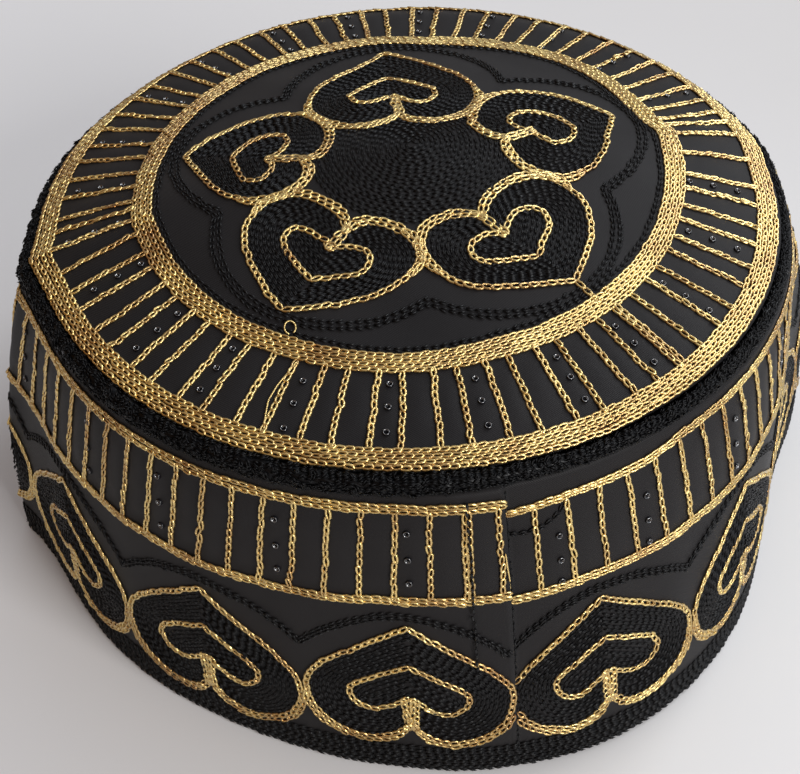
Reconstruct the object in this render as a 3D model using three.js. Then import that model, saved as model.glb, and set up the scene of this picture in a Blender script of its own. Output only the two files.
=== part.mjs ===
// Kufi: a stiff pillbox cap of embroidered satin, in millimetres, +Z up, standing on its hem.
// Three sewn pieces: a domed round top, a side band with lapped ends, and the overcast roll between them.
// The cap has been stored folded flat along X, which left a ridge across the top and a corner at each end
// of that fold. The lapped seam of the band faces -Y.
import * as THREE from 'three';
import { mergeVertices } from 'three/addons/utils/BufferGeometryUtils.js';

// Facets round the cap, and the cloth with its stiff backing
const COLUMNS = 96;
const CLOTH = 1.8;
const GAP = 0.3;

// The crown's axis, set so that the whole cap's box is centred on the origin
const AXIS_X = -0.7;
const AXIS_Y = 0.55;

// Top panel: height of its edge away from the fold, its dome, and the stored fold's ridge
const EDGE_HEIGHT = 79.4;
const TOP_RADIUS = 75.8;
const DOME_RISE = 8.0;
const RIDGE_RISE_MIDDLE = 6.2;
const RIDGE_RISE_EDGE = 1.7;
const RIDGE_REACH = 36;
const RIDGE_ROUND_MIDDLE = 9;
const RIDGE_ROUND_EDGE = 1.5;
const TOP_EDGE_ROUND = 0.6;
const TOP_CORNER_POWER = 6;

// Edge roll: centre line beyond the top panel, and the half sizes of its oval section
const ROLL_HALF_WIDTH = 2.0;
const ROLL_HALF_HEIGHT = 2.4;
const ROLL_RADIUS = TOP_RADIUS + GAP + ROLL_HALF_WIDTH;
const ROLL_DROP = 2.5;
const ROLL_SIDES = 10;

// Side band: plan at foot and top, and how much of its taper is straight
const FOOT_RADIUS = 87.2;
const BAND_TOP_RADIUS = 79.4;
const STRAIGHT_TAPER = 0.07;
const BAND_DROP = ROLL_DROP + ROLL_HALF_HEIGHT + GAP;

// Flats and swells of the foot, by bearing and width in degrees, fading out towards the top
const SWELLS = [
  { at: -128, out: -3.0, width: 20 },
  { at: -74, out: 2.2, width: 20 },
  { at: -27, out: -3.8, width: 17 },
  { at: 30, out: -2.5, width: 18 },
  { at: 100, out: 1.0, width: 30 },
  { at: 146, out: -2.5, width: 20 },
];

// Corners left by the stored fold: how far and wide each stands out at foot and top, and how round it is
const FOLDS = [
  { at: 0, footOut: 9.5, footWidth: 11, topOut: 1.1, topWidth: 5, round: 1.7 },
  { at: 180, footOut: 7.8, footWidth: 6.5, topOut: 1.6, topWidth: 5, round: 1.1 },
];
const FOLD_LEAN = 2.5;

// Lapped seam: the edge of the upper end, its width and run-up, and how far it stands proud
const SEAM_AT = -90;
const LAP_WIDTH = 5;
const LAP_RUN_UP = 12;
const LAP_RISE = 0.9;
const SEAM_STEP = 0.4;

// Corded hem at the foot of the band's outer face: share of the height, and relief
const HEM = [
  { up: 0, relief: 0.3 },
  { up: 0.015, relief: 0.8 },
  { up: 0.115, relief: 0.8 },
  { up: 0.135, relief: 0 },
];
const HEM_TOP = HEM.at(-1).up;

// Rows of facets on the faces of the band and of the top
const BAND_OUTSIDE_ROWS = 9;
const BAND_INSIDE_ROWS = 6;
const TOP_OUTSIDE_ROWS = 10;
const TOP_INSIDE_ROWS = 8;

const { degToRad, radToDeg, lerp, smoothstep } = THREE.MathUtils;

// Signed angle in degrees from one bearing to another, within half a turn
function turnFrom(bearing, angle) {
  return THREE.MathUtils.euclideanModulo(angle - bearing + 180, 360) - 180;
}

// How far the fold corners push the cloth out at this bearing and share of the height
function foldOut(angle, up) {
  const lean = Math.max(up, 0) ** FOLD_LEAN;
  return FOLDS.reduce((sum, fold) => {
    const away = Math.abs(turnFrom(fold.at, angle)) / lerp(fold.footWidth, fold.topWidth, lean);
    return sum + lerp(fold.footOut, fold.topOut, lean) * Math.exp(-(away ** fold.round));
  }, 0);
}

// How far the foot swells out, or lies flat, at this bearing
function swellOut(angle) {
  return SWELLS.reduce((sum, swell) => {
    const away = turnFrom(swell.at, angle) / swell.width;
    return sum + swell.out * Math.exp(-away * away);
  }, 0);
}

// Height of the top's outer face: edge height, dome, and a ridge that falls away on both sides of the fold
function topHeight(x, y) {
  const out = Math.min(Math.hypot(x, y) / TOP_RADIUS, 1);
  const round = lerp(RIDGE_ROUND_MIDDLE, RIDGE_ROUND_EDGE, out * out);
  const rise = lerp(RIDGE_RISE_MIDDLE, RIDGE_RISE_EDGE, out * out);
  const away = Math.hypot(y, round) - round;
  return EDGE_HEIGHT + DOME_RISE * (1 - out * out) + rise * Math.exp(-away / RIDGE_REACH);
}

// Height of the top's edge at a bearing
function edgeHeight(angle) {
  return topHeight(TOP_RADIUS * Math.cos(degToRad(angle)), TOP_RADIUS * Math.sin(degToRad(angle)));
}

// Rise of the lapped end of the band: a slow run-up, a flat flap, and a sharp edge at the seam
function lapRise(angle) {
  const past = turnFrom(SEAM_AT, angle);
  const flapStart = -LAP_WIDTH - LAP_RUN_UP;
  return past > 0 ? 0 : LAP_RISE * smoothstep(past, flapStart, -LAP_WIDTH);
}

// Radius of the band's plain outer face at a bearing and a share of its height
function bandRadius(angle, up) {
  const taper = STRAIGHT_TAPER * up + (1 - STRAIGHT_TAPER) * up * up;
  return lerp(FOOT_RADIUS + swellOut(angle), BAND_TOP_RADIUS, taper) + foldOut(angle, up);
}

// The column just past the seam is drawn back to it, so that the lap ends in a sharp step
function columnAngle(angle) {
  const past = turnFrom(SEAM_AT, angle);
  const firstColumn = 360 / COLUMNS;
  return Math.abs(past - firstColumn) < SEAM_STEP ? SEAM_AT + SEAM_STEP : angle;
}

// Turns a profile of (radius, height) points into a closed ring or disc and moves each vertex by place(),
// which takes the bearing, radius and height of the plain turned shape and gives the shaped radius and height
function turnedCloth(profile, place) {
  const points = profile.map(([radius, height]) => new THREE.Vector2(radius, height));
  const turned = new THREE.LatheGeometry(points, COLUMNS);
  turned.rotateX(Math.PI / 2);
  turned.deleteAttribute('normal');
  turned.deleteAttribute('uv');
  const positions = turned.getAttribute('position');
  for (let i = 0; i < positions.count; i += 1) {
    const x = positions.getX(i);
    const y = positions.getY(i);
    const angle = columnAngle(radToDeg(Math.atan2(y, x)));
    const shaped = place(angle, Math.hypot(x, y), positions.getZ(i));
    const bearing = degToRad(angle);
    positions.setXYZ(i, shaped.radius * Math.cos(bearing), shaped.radius * Math.sin(bearing), shaped.height);
  }
  const closed = mergeVertices(turned, 1e-3);
  closed.computeVertexNormals();
  return closed;
}

// Top panel: a disc of cloth that follows the domed and ridged outer face
function topPanel() {
  const flat = TOP_RADIUS - TOP_EDGE_ROUND;
  const outside = [];
  for (let row = 0; row <= TOP_OUTSIDE_ROWS; row += 1) {
    outside.push([flat * Math.sqrt(row / TOP_OUTSIDE_ROWS), 0]);
  }
  const edge = [
    [TOP_RADIUS, -TOP_EDGE_ROUND],
    [TOP_RADIUS, TOP_EDGE_ROUND - CLOTH],
  ];
  const inside = [];
  for (let row = TOP_INSIDE_ROWS; row >= 0; row -= 1) {
    inside.push([flat * Math.sqrt(row / TOP_INSIDE_ROWS), -CLOTH]);
  }
  return turnedCloth([...inside.reverse(), ...edge.reverse(), ...outside.reverse()], (angle, radius, depth) => {
    const out = radius / TOP_RADIUS;
    const shaped = radius + foldOut(angle, 1) * out ** TOP_CORNER_POWER;
    const bearing = degToRad(angle);
    return { radius: shaped, height: topHeight(radius * Math.cos(bearing), radius * Math.sin(bearing)) + depth };
  });
}

// Edge roll: an oval cord that follows the top's edge
function edgeRoll() {
  const section = [];
  for (let side = 0; side <= ROLL_SIDES; side += 1) {
    const turn = (2 * Math.PI * (side % ROLL_SIDES)) / ROLL_SIDES;
    section.push([ROLL_RADIUS + ROLL_HALF_WIDTH * Math.cos(turn), ROLL_HALF_HEIGHT * Math.sin(turn)]);
  }
  return turnedCloth(section, (angle, radius, height) => ({
    radius: radius + foldOut(angle, 1),
    height: edgeHeight(angle) - ROLL_DROP + height,
  }));
}

// Side band: its profile holds relief against share of height, with the inner face one cloth further in
function sideBand() {
  const outside = HEM.map((row) => [FOOT_RADIUS + row.relief, row.up]);
  for (let row = 1; row <= BAND_OUTSIDE_ROWS; row += 1) {
    outside.push([FOOT_RADIUS, lerp(HEM_TOP, 1, row / BAND_OUTSIDE_ROWS)]);
  }
  const inside = [];
  for (let row = BAND_INSIDE_ROWS; row >= 0; row -= 1) {
    inside.push([FOOT_RADIUS - CLOTH, row / BAND_INSIDE_ROWS]);
  }
  return turnedCloth([...outside, ...inside, outside[0]], (angle, radius, up) => {
    const relief = radius - FOOT_RADIUS;
    const lap = relief < -CLOTH / 2 ? 0 : lapRise(angle);
    return { radius: bandRadius(angle, up) + relief + lap, height: up * (edgeHeight(angle) - BAND_DROP) };
  });
}

function satin(color, roughness) {
  return new THREE.MeshStandardMaterial({ color, roughness, metalness: 0 });
}

const kufi = new THREE.Group();
const pieces = [
  { name: 'top_panel', shape: topPanel(), finish: satin(0x1c1c1f, 0.45) },
  { name: 'edge_roll', shape: edgeRoll(), finish: satin(0x0c0c0e, 0.6) },
  { name: 'side_band', shape: sideBand(), finish: satin(0x1c1c1f, 0.45) },
];
for (const piece of pieces) {
  const mesh = new THREE.Mesh(piece.shape, piece.finish);
  mesh.name = piece.name;
  kufi.add(mesh);
}
kufi.position.set(AXIS_X, AXIS_Y, 0);

export default kufi;
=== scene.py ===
import math

import bpy
import numpy as np
from mathutils import Matrix


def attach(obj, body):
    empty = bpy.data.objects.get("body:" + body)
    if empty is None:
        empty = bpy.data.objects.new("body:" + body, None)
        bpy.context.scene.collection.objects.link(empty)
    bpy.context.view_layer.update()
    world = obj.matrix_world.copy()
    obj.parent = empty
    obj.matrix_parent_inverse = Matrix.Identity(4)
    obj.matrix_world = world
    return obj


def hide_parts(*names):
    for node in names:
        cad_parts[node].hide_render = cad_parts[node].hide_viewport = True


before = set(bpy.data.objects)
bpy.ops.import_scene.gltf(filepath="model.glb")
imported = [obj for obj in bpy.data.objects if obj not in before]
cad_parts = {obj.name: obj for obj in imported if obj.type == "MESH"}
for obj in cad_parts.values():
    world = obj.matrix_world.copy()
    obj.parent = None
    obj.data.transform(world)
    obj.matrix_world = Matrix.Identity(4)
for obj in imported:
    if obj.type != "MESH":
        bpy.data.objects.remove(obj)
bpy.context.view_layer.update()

# The place where the cap is shown: a pale floor whose colour is painted lighter on the left and darker
# on the right, painted light and shade that even out the lamps, and a camera that looks down on it from the
# front. A soft window panel lights it from behind on the right and a soft room panel from the front on the
# right, under a sky that is pale on the right and warm and dim on the left.
MM = 0.001
IMAGE_WIDTH = 800
LENS_PIXELS = 1541.9
SENSOR = 36.0
NEAREST_SEEN = 0.01
EYE = np.array([-49.28, -254.40, 278.22]) * MM
GAZE = np.array([0.12422, 0.70449, -0.69875])
LEVEL = np.array([0.98481, -0.17365, 0.0])
CAMERA_ROLL = math.radians(2.233)
LAMPS = {
    "window": dict(at=(0.75, 0.35, 0.75), size=0.6, watts=6.5, tint=(0.96, 0.98, 1.0)),
    "room": dict(at=(0.47, -0.85, 0.54), size=0.5, watts=9.7, tint=(1.0, 0.99, 0.98)),
}
SKY_TOWARDS = (0.80, 0.12, 0.58)
SKY_FROM, SKY_TO = -0.3, 0.9
SKY_DIM = (0.34, 0.178, 0.066)
SKY_BRIGHT = (0.81, 0.90, 1.02)
SKY_STRENGTH = 0.68
FLOOR_SIZE = 3.0
FLOOR_DROP = 0.0003
# The floor's two colours are painted light on the left and painted shade on the right.
FLOOR_PAINTED_LIGHT_LEFT = (0.89, 0.89, 0.90)
FLOOR_PAINTED_SHADE_RIGHT = (0.58, 0.57, 0.565)
FLOOR_FADE = 0.22
FLOOR_CLOUDS = 0.2


def stand(name, data, axes, at):
    """A camera or lamp as an object at a place, with the three directions of its axes."""
    holder = bpy.data.objects.new(name, data)
    holder.matrix_world = Matrix(np.vstack([np.stack([*axes, at], 1), [0, 0, 0, 1]]).tolist())
    bpy.context.collection.objects.link(holder)
    return holder


down = np.cross(GAZE, LEVEL)
right = math.cos(CAMERA_ROLL) * LEVEL + math.sin(CAMERA_ROLL) * down
below = math.cos(CAMERA_ROLL) * down - math.sin(CAMERA_ROLL) * LEVEL
lens = bpy.data.cameras.new("camera")
lens.sensor_fit = "HORIZONTAL"
lens.sensor_width = SENSOR
lens.lens = LENS_PIXELS / IMAGE_WIDTH * SENSOR
lens.clip_start = NEAREST_SEEN
bpy.context.scene.camera = stand("camera", lens, (right, -below, -GAZE), EYE)

for lamp_name, lamp in LAMPS.items():
    panel = bpy.data.lights.new(lamp_name, "AREA")
    panel.energy = lamp["watts"]
    panel.size = lamp["size"]
    panel.color = lamp["tint"]
    away = np.array(lamp["at"]) / np.linalg.norm(lamp["at"])
    side = np.cross([0.0, 0.0, 1.0], away)
    side /= np.linalg.norm(side)
    stand(lamp_name, panel, (side, np.cross(away, side), away), lamp["at"])


def add_node(tree, kind, inputs=None, **settings):
    """A new node with its settings, and with fixed values for some of its inputs, by name or number."""
    made = tree.nodes.new(kind)
    for key, value in settings.items():
        setattr(made, key, value)
    for key, value in (inputs or {}).items():
        made.inputs[key].default_value = value
    return made


def add_ramp(tree, *stops):
    """A colour ramp with two stops, each a place from 0 to 1 and a colour."""
    ramp = add_node(tree, "ShaderNodeValToRGB")
    for element, (place, colour) in zip(ramp.color_ramp.elements, stops):
        element.position = place
        element.color = (*colour, 1.0)
    return ramp


def wire(tree, *wires):
    """Links in a tree: each is a node and one of its outputs, then a node and one of its inputs."""
    for source, output, target, entry in wires:
        tree.links.new(source.outputs[output], target.inputs[entry])


sky = bpy.data.worlds.new("sky")
sky.use_nodes = True
backdrop = sky.node_tree.nodes["Background"]
backdrop.inputs["Strength"].default_value = SKY_STRENGTH
heading = add_node(sky.node_tree, "ShaderNodeTexCoord")
towards = add_node(sky.node_tree, "ShaderNodeVectorMath", {1: SKY_TOWARDS}, operation="DOT_PRODUCT")
spread = add_node(sky.node_tree, "ShaderNodeMapRange", {"From Min": SKY_FROM, "From Max": SKY_TO})
fade = add_ramp(sky.node_tree, (0.0, SKY_DIM), (1.0, SKY_BRIGHT))
wire(
    sky.node_tree,
    (heading, "Generated", towards, 0),
    (towards, "Value", spread, "Value"),
    (spread, "Result", fade, "Fac"),
    (fade, "Color", backdrop, "Color"),
)
bpy.context.scene.world = sky
bpy.context.scene.view_settings.view_transform = "Standard"


def make_mesh(name, points, quads=None, tris=None, uv=None):
    """Mesh object from points in metres, quads and triangles, and one (u, v) pair for each face corner."""
    quads = np.empty((0, 4), int) if quads is None else np.asarray(quads)
    tris = np.empty((0, 3), int) if tris is None else np.asarray(tris)
    corners = np.concatenate([quads.ravel(), tris.ravel()])
    starts = np.concatenate([np.arange(len(quads)) * 4, len(quads) * 4 + np.arange(len(tris)) * 3])
    mesh = bpy.data.meshes.new(name)
    mesh.vertices.add(len(points))
    mesh.loops.add(len(corners))
    mesh.polygons.add(len(starts))
    mesh.vertices.foreach_set("co", np.asarray(points, np.float32).ravel())
    mesh.loops.foreach_set("vertex_index", corners.astype(np.int32))
    mesh.polygons.foreach_set("loop_start", starts.astype(np.int32))
    mesh.update(calc_edges=True)
    mesh.polygons.foreach_set("use_smooth", np.ones(len(starts), bool))
    if uv is not None:
        mesh.uv_layers.new(name="UVMap").data.foreach_set("uv", np.asarray(uv, np.float32).ravel())
    mesh.update()
    piece = bpy.data.objects.new(name, mesh)
    bpy.context.collection.objects.link(piece)
    return piece


def new_material(name, constants):
    """A node material, its tree, and its Principled shader, which gets these constant values."""
    material = bpy.data.materials.new(name)
    material.use_nodes = True
    shader = material.node_tree.nodes["Principled BSDF"]
    for key, value in constants.items():
        shader.inputs[key].default_value = value
    return material, material.node_tree, shader


corners = np.array([(-1, -1, 0), (1, -1, 0), (1, 1, 0), (-1, 1, 0)]) * FLOOR_SIZE / 2
floor = make_mesh("floor", corners - [0.0, 0.0, FLOOR_DROP], [(0, 1, 2, 3)])
pale_floor, tree, shader = new_material("pale_floor", {"Roughness": 0.45})
place = add_node(tree, "ShaderNodeTexCoord")
split = add_node(tree, "ShaderNodeSeparateXYZ")
across = add_node(tree, "ShaderNodeMapRange", {"From Min": -FLOOR_FADE, "From Max": FLOOR_FADE})
cloudy = add_node(tree, "ShaderNodeTexNoise", {"Scale": 6.0, "Detail": 4.0})
mixed = add_node(tree, "ShaderNodeMath", {1: FLOOR_CLOUDS}, operation="MULTIPLY_ADD")
# Painted light and shade: the floor's colour runs from light on the left to dark on the right, with faint
# clouds.
shade = add_ramp(tree, (0.0, FLOOR_PAINTED_LIGHT_LEFT), (1.0, FLOOR_PAINTED_SHADE_RIGHT))
wire(
    tree,
    (place, "Object", split, "Vector"),
    (place, "Object", cloudy, "Vector"),
    (split, "X", across, "Value"),
    (cloudy, "Fac", mixed, 0),
    (across, "Result", mixed, 2),
    (mixed, "Value", shade, "Fac"),
    (shade, "Color", shader, "Base Color"),
)
floor.data.materials.append(pale_floor)

# The top panel is a round of black satin that closes the crown. It is domed, keeps a low ridge from
# side to side where the cap has been folded flat, and is sewn to the band inside the edge roll.
AXIS = np.array([-0.7, 0.55, 0.0])
CLOTH = 1.8
EDGE_HEIGHT = 79.4
TOP_RADIUS = 75.8
DOME_RISE = 8.0
RIDGE_RISE = (6.2, 1.7)
RIDGE_ROUND = (9.0, 1.5)
RIDGE_REACH = 36.0
TOP_EDGE_ROUND = 0.9
CORNER_POWER = 6
FOLDS = [
    dict(at=0.0, top_at=0.2, foot_out=9.5, foot_width=11.0, top_out=0.5, top_width=5.0, rounding=1.7),
    dict(at=180.0, top_at=182.7, foot_out=7.8, foot_width=6.5, top_out=2.4, top_width=5.0, rounding=1.1),
]
FOLD_LEAN = 2.5
COLUMNS = 576
TOP_ROWS, TOP_INNER_ROWS = 34, 10
TOP_MIDDLE = 2.0
TOP_INNER_EDGE = 0.6
RIM_STEPS = np.array([0.2, 0.4, 0.6, 0.8, 1.0])
SPOKE_STEP = 10.0
FRONT_SPOKES = (-13.0, -17.45)
FRONT_PAIRS = 16
BACK_SPOKES = (17.6, 12.9)
BACK_PAIRS = 15
LAST_BACK_SPOKE = 163.0
FOLD_SPOKES = [
    (168.2, 170.7), (174.2, 176.1), (177.7, 179.0), (182.0, 182.4), (187.7, 186.7),
    (-5.8, -6.0), (1.0, 0.5), (5.0, 3.9), (8.4, 6.1),
]
SPOKE_LEANS = [(12.0, -2.4, 16.0), (168.0, 2.4, 16.0)]
SHOULDER = dict(at=72.0, width=70.0, rounding=4, rise=1.5, start=56.0, end=77.4)
EDGE_DIP = dict(start=72.6, reach=4.6, most=1.1, power=1.5, fall=2.0)
RIM_SHIFT = [(-75, 0.0), (-45, -0.5), (-20, -1.2), (5, -1.2), (25, -0.5), (45, 0.0)]
CELLS_FROM, CELLS_TO = 58.0, 72.0
CELL_PUFF = 0.28
CELL_SOFT = 4.0
RIPPLES = [(0.10, 0.21, 0.13, 0.4), (0.08, -0.11, 0.24, 1.9), (0.05, 0.33, 0.29, 3.1)]
RIPPLE_SOFT = 8.0
SATIN_DARK = (0.0088, 0.0080, 0.0084)
SATIN_LIGHT = (0.0150, 0.0138, 0.0142)
TWILL_SHARE = 0.22
SLUB_SHARE = 0.35


def turn_from(bearing, angle):
    """Signed angle in degrees from one bearing to another, within half a turn."""
    return (angle - bearing + 180.0) % 360.0 - 180.0


def fold_out(angle, up):
    """Bulge of the two fold corners: a bell over the bearing, whose height and width go from foot to top."""
    lean = np.maximum(up, 0.0) ** FOLD_LEAN
    bulge = 0.0
    for fold in FOLDS:
        width = fold["foot_width"] + (fold["top_width"] - fold["foot_width"]) * lean
        out = fold["foot_out"] + (fold["top_out"] - fold["foot_out"]) * lean
        at = fold["at"] + (fold["top_at"] - fold["at"]) * lean
        bulge = bulge + out * np.exp(-(np.abs(turn_from(at, angle)) / width) ** fold["rounding"])
    return bulge


def spoke_lean(outer):
    """How far a spoke at the back turns on its way in: a bell near each end of the stored fold."""
    return sum(lean * math.exp(-((outer - near) / width) ** 2) for near, lean, width in SPOKE_LEANS)


front_spokes = [at - SPOKE_STEP * pair for pair in range(FRONT_PAIRS) for at in FRONT_SPOKES]
back_spokes = [at + SPOKE_STEP * pair for pair in range(BACK_PAIRS) for at in BACK_SPOKES] + [LAST_BACK_SPOKE]
spokes = [(at, at) for at in front_spokes] + [(at, at + spoke_lean(at)) for at in back_spokes] + FOLD_SPOKES
held_lines = [(outer + inner) / 2.0 for outer, inner in spokes]


def puffed(at, lines):
    """Puff of the cloth between stitched lines: a half sine from each line's bearing to the next one's."""
    lines = np.sort(np.asarray(lines) % 360.0)
    lines = np.concatenate([lines, [lines[0] + 360.0]])
    around = (np.asarray(at) - lines[0]) % 360.0 + lines[0]
    cell = np.clip(np.searchsorted(lines, around, side="right") - 1, 0, len(lines) - 2)
    return np.sin(np.pi * (around - lines[cell]) / (lines[cell + 1] - lines[cell]))


def rim_shift(angle):
    """How far the rim lies out from its circle: it is drawn in on the right, where the cap was handled."""
    return np.interp(turn_from(0.0, angle), *zip(*RIM_SHIFT))


def between(value, low, high, soft):
    """1 between two limits and 0 outside them, with soft ends."""
    rise = np.clip((value - low) / soft, 0.0, 1.0) * np.clip((high - value) / soft, 0.0, 1.0)
    return rise * rise * (3.0 - 2.0 * rise)


def top_height(x, y):
    """Height of the top: its edge, a dome of the radius squared, and a ridge that decays from the fold."""
    out = np.minimum((x * x + y * y) / TOP_RADIUS**2, 1.0)
    rounding = RIDGE_ROUND[0] + (RIDGE_ROUND[1] - RIDGE_ROUND[0]) * out
    rise = RIDGE_RISE[0] + (RIDGE_RISE[1] - RIDGE_RISE[0]) * out
    ridge = rise * np.exp(-(np.hypot(y, rounding) - rounding) / RIDGE_REACH)
    return EDGE_HEIGHT + DOME_RISE * (1.0 - out) + ridge


def crown(x, y):
    """Point on the top's outer face over the plan point (x, y). The corners push it out, the satin puffs
    between the spokes and ripples inside them, the back has a shoulder and a dipped edge, and past the rim
    the face goes on round a small half turn."""
    radius = np.maximum(np.hypot(x, y), 1e-9)
    angle = np.degrees(np.arctan2(y, x))
    flat = np.minimum(radius, TOP_RADIUS)
    over = np.minimum(np.clip(radius - TOP_RADIUS, 0.0, None) / TOP_EDGE_ROUND, np.pi)
    shaped = flat + fold_out(angle, 1.0) * (flat / TOP_RADIUS) ** CORNER_POWER + TOP_EDGE_ROUND * np.sin(over)
    height = top_height(x * flat / radius, y * flat / radius) - TOP_EDGE_ROUND * (1.0 - np.cos(over))
    height = height + CELL_PUFF * puffed(angle, held_lines) * between(radius, CELLS_FROM, CELLS_TO, CELL_SOFT)
    aside = np.abs(turn_from(SHOULDER["at"], angle) / SHOULDER["width"])
    back = np.exp(-(aside ** SHOULDER["rounding"]))
    out = np.clip((radius - SHOULDER["start"]) / (SHOULDER["end"] - SHOULDER["start"]), 0.0, 1.0)
    height = height + SHOULDER["rise"] * back * np.sin(np.pi * out**2)
    dip = np.clip((radius - EDGE_DIP["start"]) / EDGE_DIP["reach"], 0.0, EDGE_DIP["most"])
    height = height - EDGE_DIP["fall"] * back * dip ** EDGE_DIP["power"]
    ripple = sum(depth * np.sin(along * x + across * y + start) for depth, along, across, start in RIPPLES)
    height = height + ripple * between(radius, -1.0, CELLS_FROM, RIPPLE_SOFT)
    return np.stack([x / radius * shaped, y / radius * shaped, height], -1)


def plan_points(far, at):
    """The two plan coordinates at distances from the crown's axis and bearings in degrees."""
    return far * np.cos(np.radians(at)), far * np.sin(np.radians(at))


def grid_quads(rows, columns, close_rows=False):
    """Faces between neighbouring rows of points, whose columns run on round. Rows may close up too."""
    i, j = np.meshgrid(np.arange(rows if close_rows else rows - 1), np.arange(columns), indexing="ij")
    next_row, next_column = (i + 1) % rows * columns, (j + 1) % columns
    row = i * columns
    return np.stack([row + j, next_row + j, next_row + next_column, row + next_column], -1).reshape(-1, 4)


def in_metres(points):
    """Points in millimetres about the crown's axis, as metres in the part's frame."""
    return (np.asarray(points).reshape(-1, 3) + AXIS) * MM


bearings = np.linspace(0.0, 360.0, COLUMNS, endpoint=False)
over_rim = TOP_RADIUS + TOP_EDGE_ROUND * np.pi * RIM_STEPS
outer_rows = np.concatenate([np.linspace(TOP_MIDDLE, TOP_RADIUS, TOP_ROWS), over_rim])[:, None]
inner_rows = np.linspace(TOP_RADIUS - TOP_INNER_EDGE, TOP_MIDDLE, TOP_INNER_ROWS)[:, None]
under = np.array([0.0, 0.0, CLOTH])
shell = np.concatenate([
    crown(*plan_points(outer_rows, bearings)),
    crown(*plan_points(inner_rows, bearings)) - under,
])
pole = crown(np.zeros(1), np.zeros(1))
quads = grid_quads(len(shell), COLUMNS)
here = np.arange(COLUMNS)
ahead = (here + 1) % COLUMNS
last = (len(shell) - 1) * COLUMNS
middle = np.full(COLUMNS, len(shell) * COLUMNS)
outer_fan = np.stack([middle, here, ahead], -1)
inner_fan = np.stack([middle + 1, last + ahead, last + here], -1)
fans = np.concatenate([outer_fan, inner_fan])
points = np.vstack([shell.reshape(-1, 3), pole, pole - under])
plan = points[:, :2] * MM
corner_uv = np.vstack([plan[quads.ravel()], plan[fans.ravel()]])
top_panel = make_mesh("top_panel_cloth", in_metres(points), quads, fans, corner_uv)

sheen = {"Specular IOR Level": 0.12, "Sheen Weight": 0.03, "Sheen Roughness": 0.4}
black_satin, tree, shader = new_material("black_satin", sheen)
threads = add_node(tree, "ShaderNodeUVMap", uv_map="UVMap")
weave = {"Scale": 1300.0, "Distortion": 0.6, "Detail": 1.0}
twill = add_node(tree, "ShaderNodeTexWave", weave, bands_direction="DIAGONAL")
slubs = add_node(tree, "ShaderNodeTexNoise", {"Scale": 420.0, "Detail": 3.0})
drift = add_node(tree, "ShaderNodeTexNoise", {"Scale": 28.0, "Detail": 4.0})
woven = add_node(tree, "ShaderNodeMath", {1: TWILL_SHARE}, operation="MULTIPLY_ADD")
tones = add_ramp(tree, (0.3, SATIN_DARK), (0.85, SATIN_LIGHT))
gloss = add_node(tree, "ShaderNodeMapRange", {"To Min": 0.44, "To Max": 0.58})
both = add_node(tree, "ShaderNodeMath", {1: SLUB_SHARE}, operation="MULTIPLY_ADD")
relief = add_node(tree, "ShaderNodeBump", {"Strength": 0.3, "Distance": 0.0001})
wire(
    tree,
    *[(threads, "UV", texture, "Vector") for texture in (twill, slubs, drift)],
    (twill, "Fac", woven, 0),
    (drift, "Fac", woven, 2),
    (woven, "Value", tones, "Fac"),
    (tones, "Color", shader, "Base Color"),
    (drift, "Fac", gloss, "Value"),
    (gloss, "Result", shader, "Roughness"),
    (slubs, "Fac", both, 0),
    (twill, "Fac", both, 2),
    (both, "Value", relief, "Height"),
    (relief, "Normal", shader, "Normal"),
)


def dress(pieces, material):
    """Gives pieces their material, and fixes them to the cap's one body."""
    for piece in pieces:
        piece.data.materials.append(material)
        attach(piece, "root")


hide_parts("top_panel")
dress([top_panel], black_satin)

# The side band is a strip of the same black satin that stands round the head. Its ends are lapped
# and sewn at the front, its two fold corners stick out, and its foot swells and flattens in places.
FOOT_RADIUS = 87.2
BAND_TOP_RADIUS = 79.4
STRAIGHT_TAPER = 0.07
BAND_DROP = 5.2
BAND_HEIGHT = 74.4
TUCKED_UNDER = 2.0
FOOT_LEVEL = 0.4
BAND_ROWS, BAND_INNER_ROWS = 44, 10
FOOT_EDGE = [(0.3, 0.1), (CLOTH - 0.3, 0.1)]
SWELLS = [(-128, -2.2, 20), (-74, 2.2, 20), (-27, -3.8, 17), (30, -2.5, 18), (100, 1.0, 30), (146, -2.5, 20)]
SEAM_AT = -90.0
LAP_WIDTH = 5.0
LAP_RUN_UP = 12.0
LAP_RISE = 0.9
SEAM_STEP = 0.25
UNDER_FLARE = dict(out=0.9, width=40.0)
SEAM_LEAN = 1.3
SEAM_LEAN_REACH = 25.0
PUCKERS = [(0.14, 11, 0.4), (0.10, 23, 2.1), (0.06, 41, 4.0)]
PUCKER_SLANT = 2.0
LEFT_SPOKES = (-90.9, -4.43, 40)
RIGHT_SPOKES = (-86.0, 4.55, 40)
BAND_CELLS = (51.5, 71.0)
side_spokes = [start + step * k for start, step, count in (LEFT_SPOKES, RIGHT_SPOKES) for k in range(count)]


def lap_rise(angle):
    """Rise of the lapped end: none past the seam, full on the flap, and a smooth run-up before it."""
    past = turn_from(SEAM_AT, angle)
    share = np.clip((past + LAP_WIDTH + LAP_RUN_UP) / LAP_RUN_UP, 0.0, 1.0)
    return np.where(past > 0.0, 0.0, LAP_RISE * share * share * (3.0 - 2.0 * share))


def band_radius(angle, up):
    """Radius of the plain band: by a parabola from the swelling foot to the top, plus corners and puckers."""
    foot = FOOT_RADIUS
    for at, out, width in SWELLS:
        foot = foot + out * np.exp(-(turn_from(at, angle) / width) ** 2)
    taper = STRAIGHT_TAPER * up + (1.0 - STRAIGHT_TAPER) * up * up
    turn = np.radians(angle)
    waves = sum(deep * np.sin(turn * count + start + PUCKER_SLANT * up) for deep, count, start in PUCKERS)
    pucker = waves * np.sin(np.pi * np.clip(up, 0.0, 1.0))
    return foot + (BAND_TOP_RADIUS - foot) * taper + fold_out(angle, up) + pucker


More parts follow.
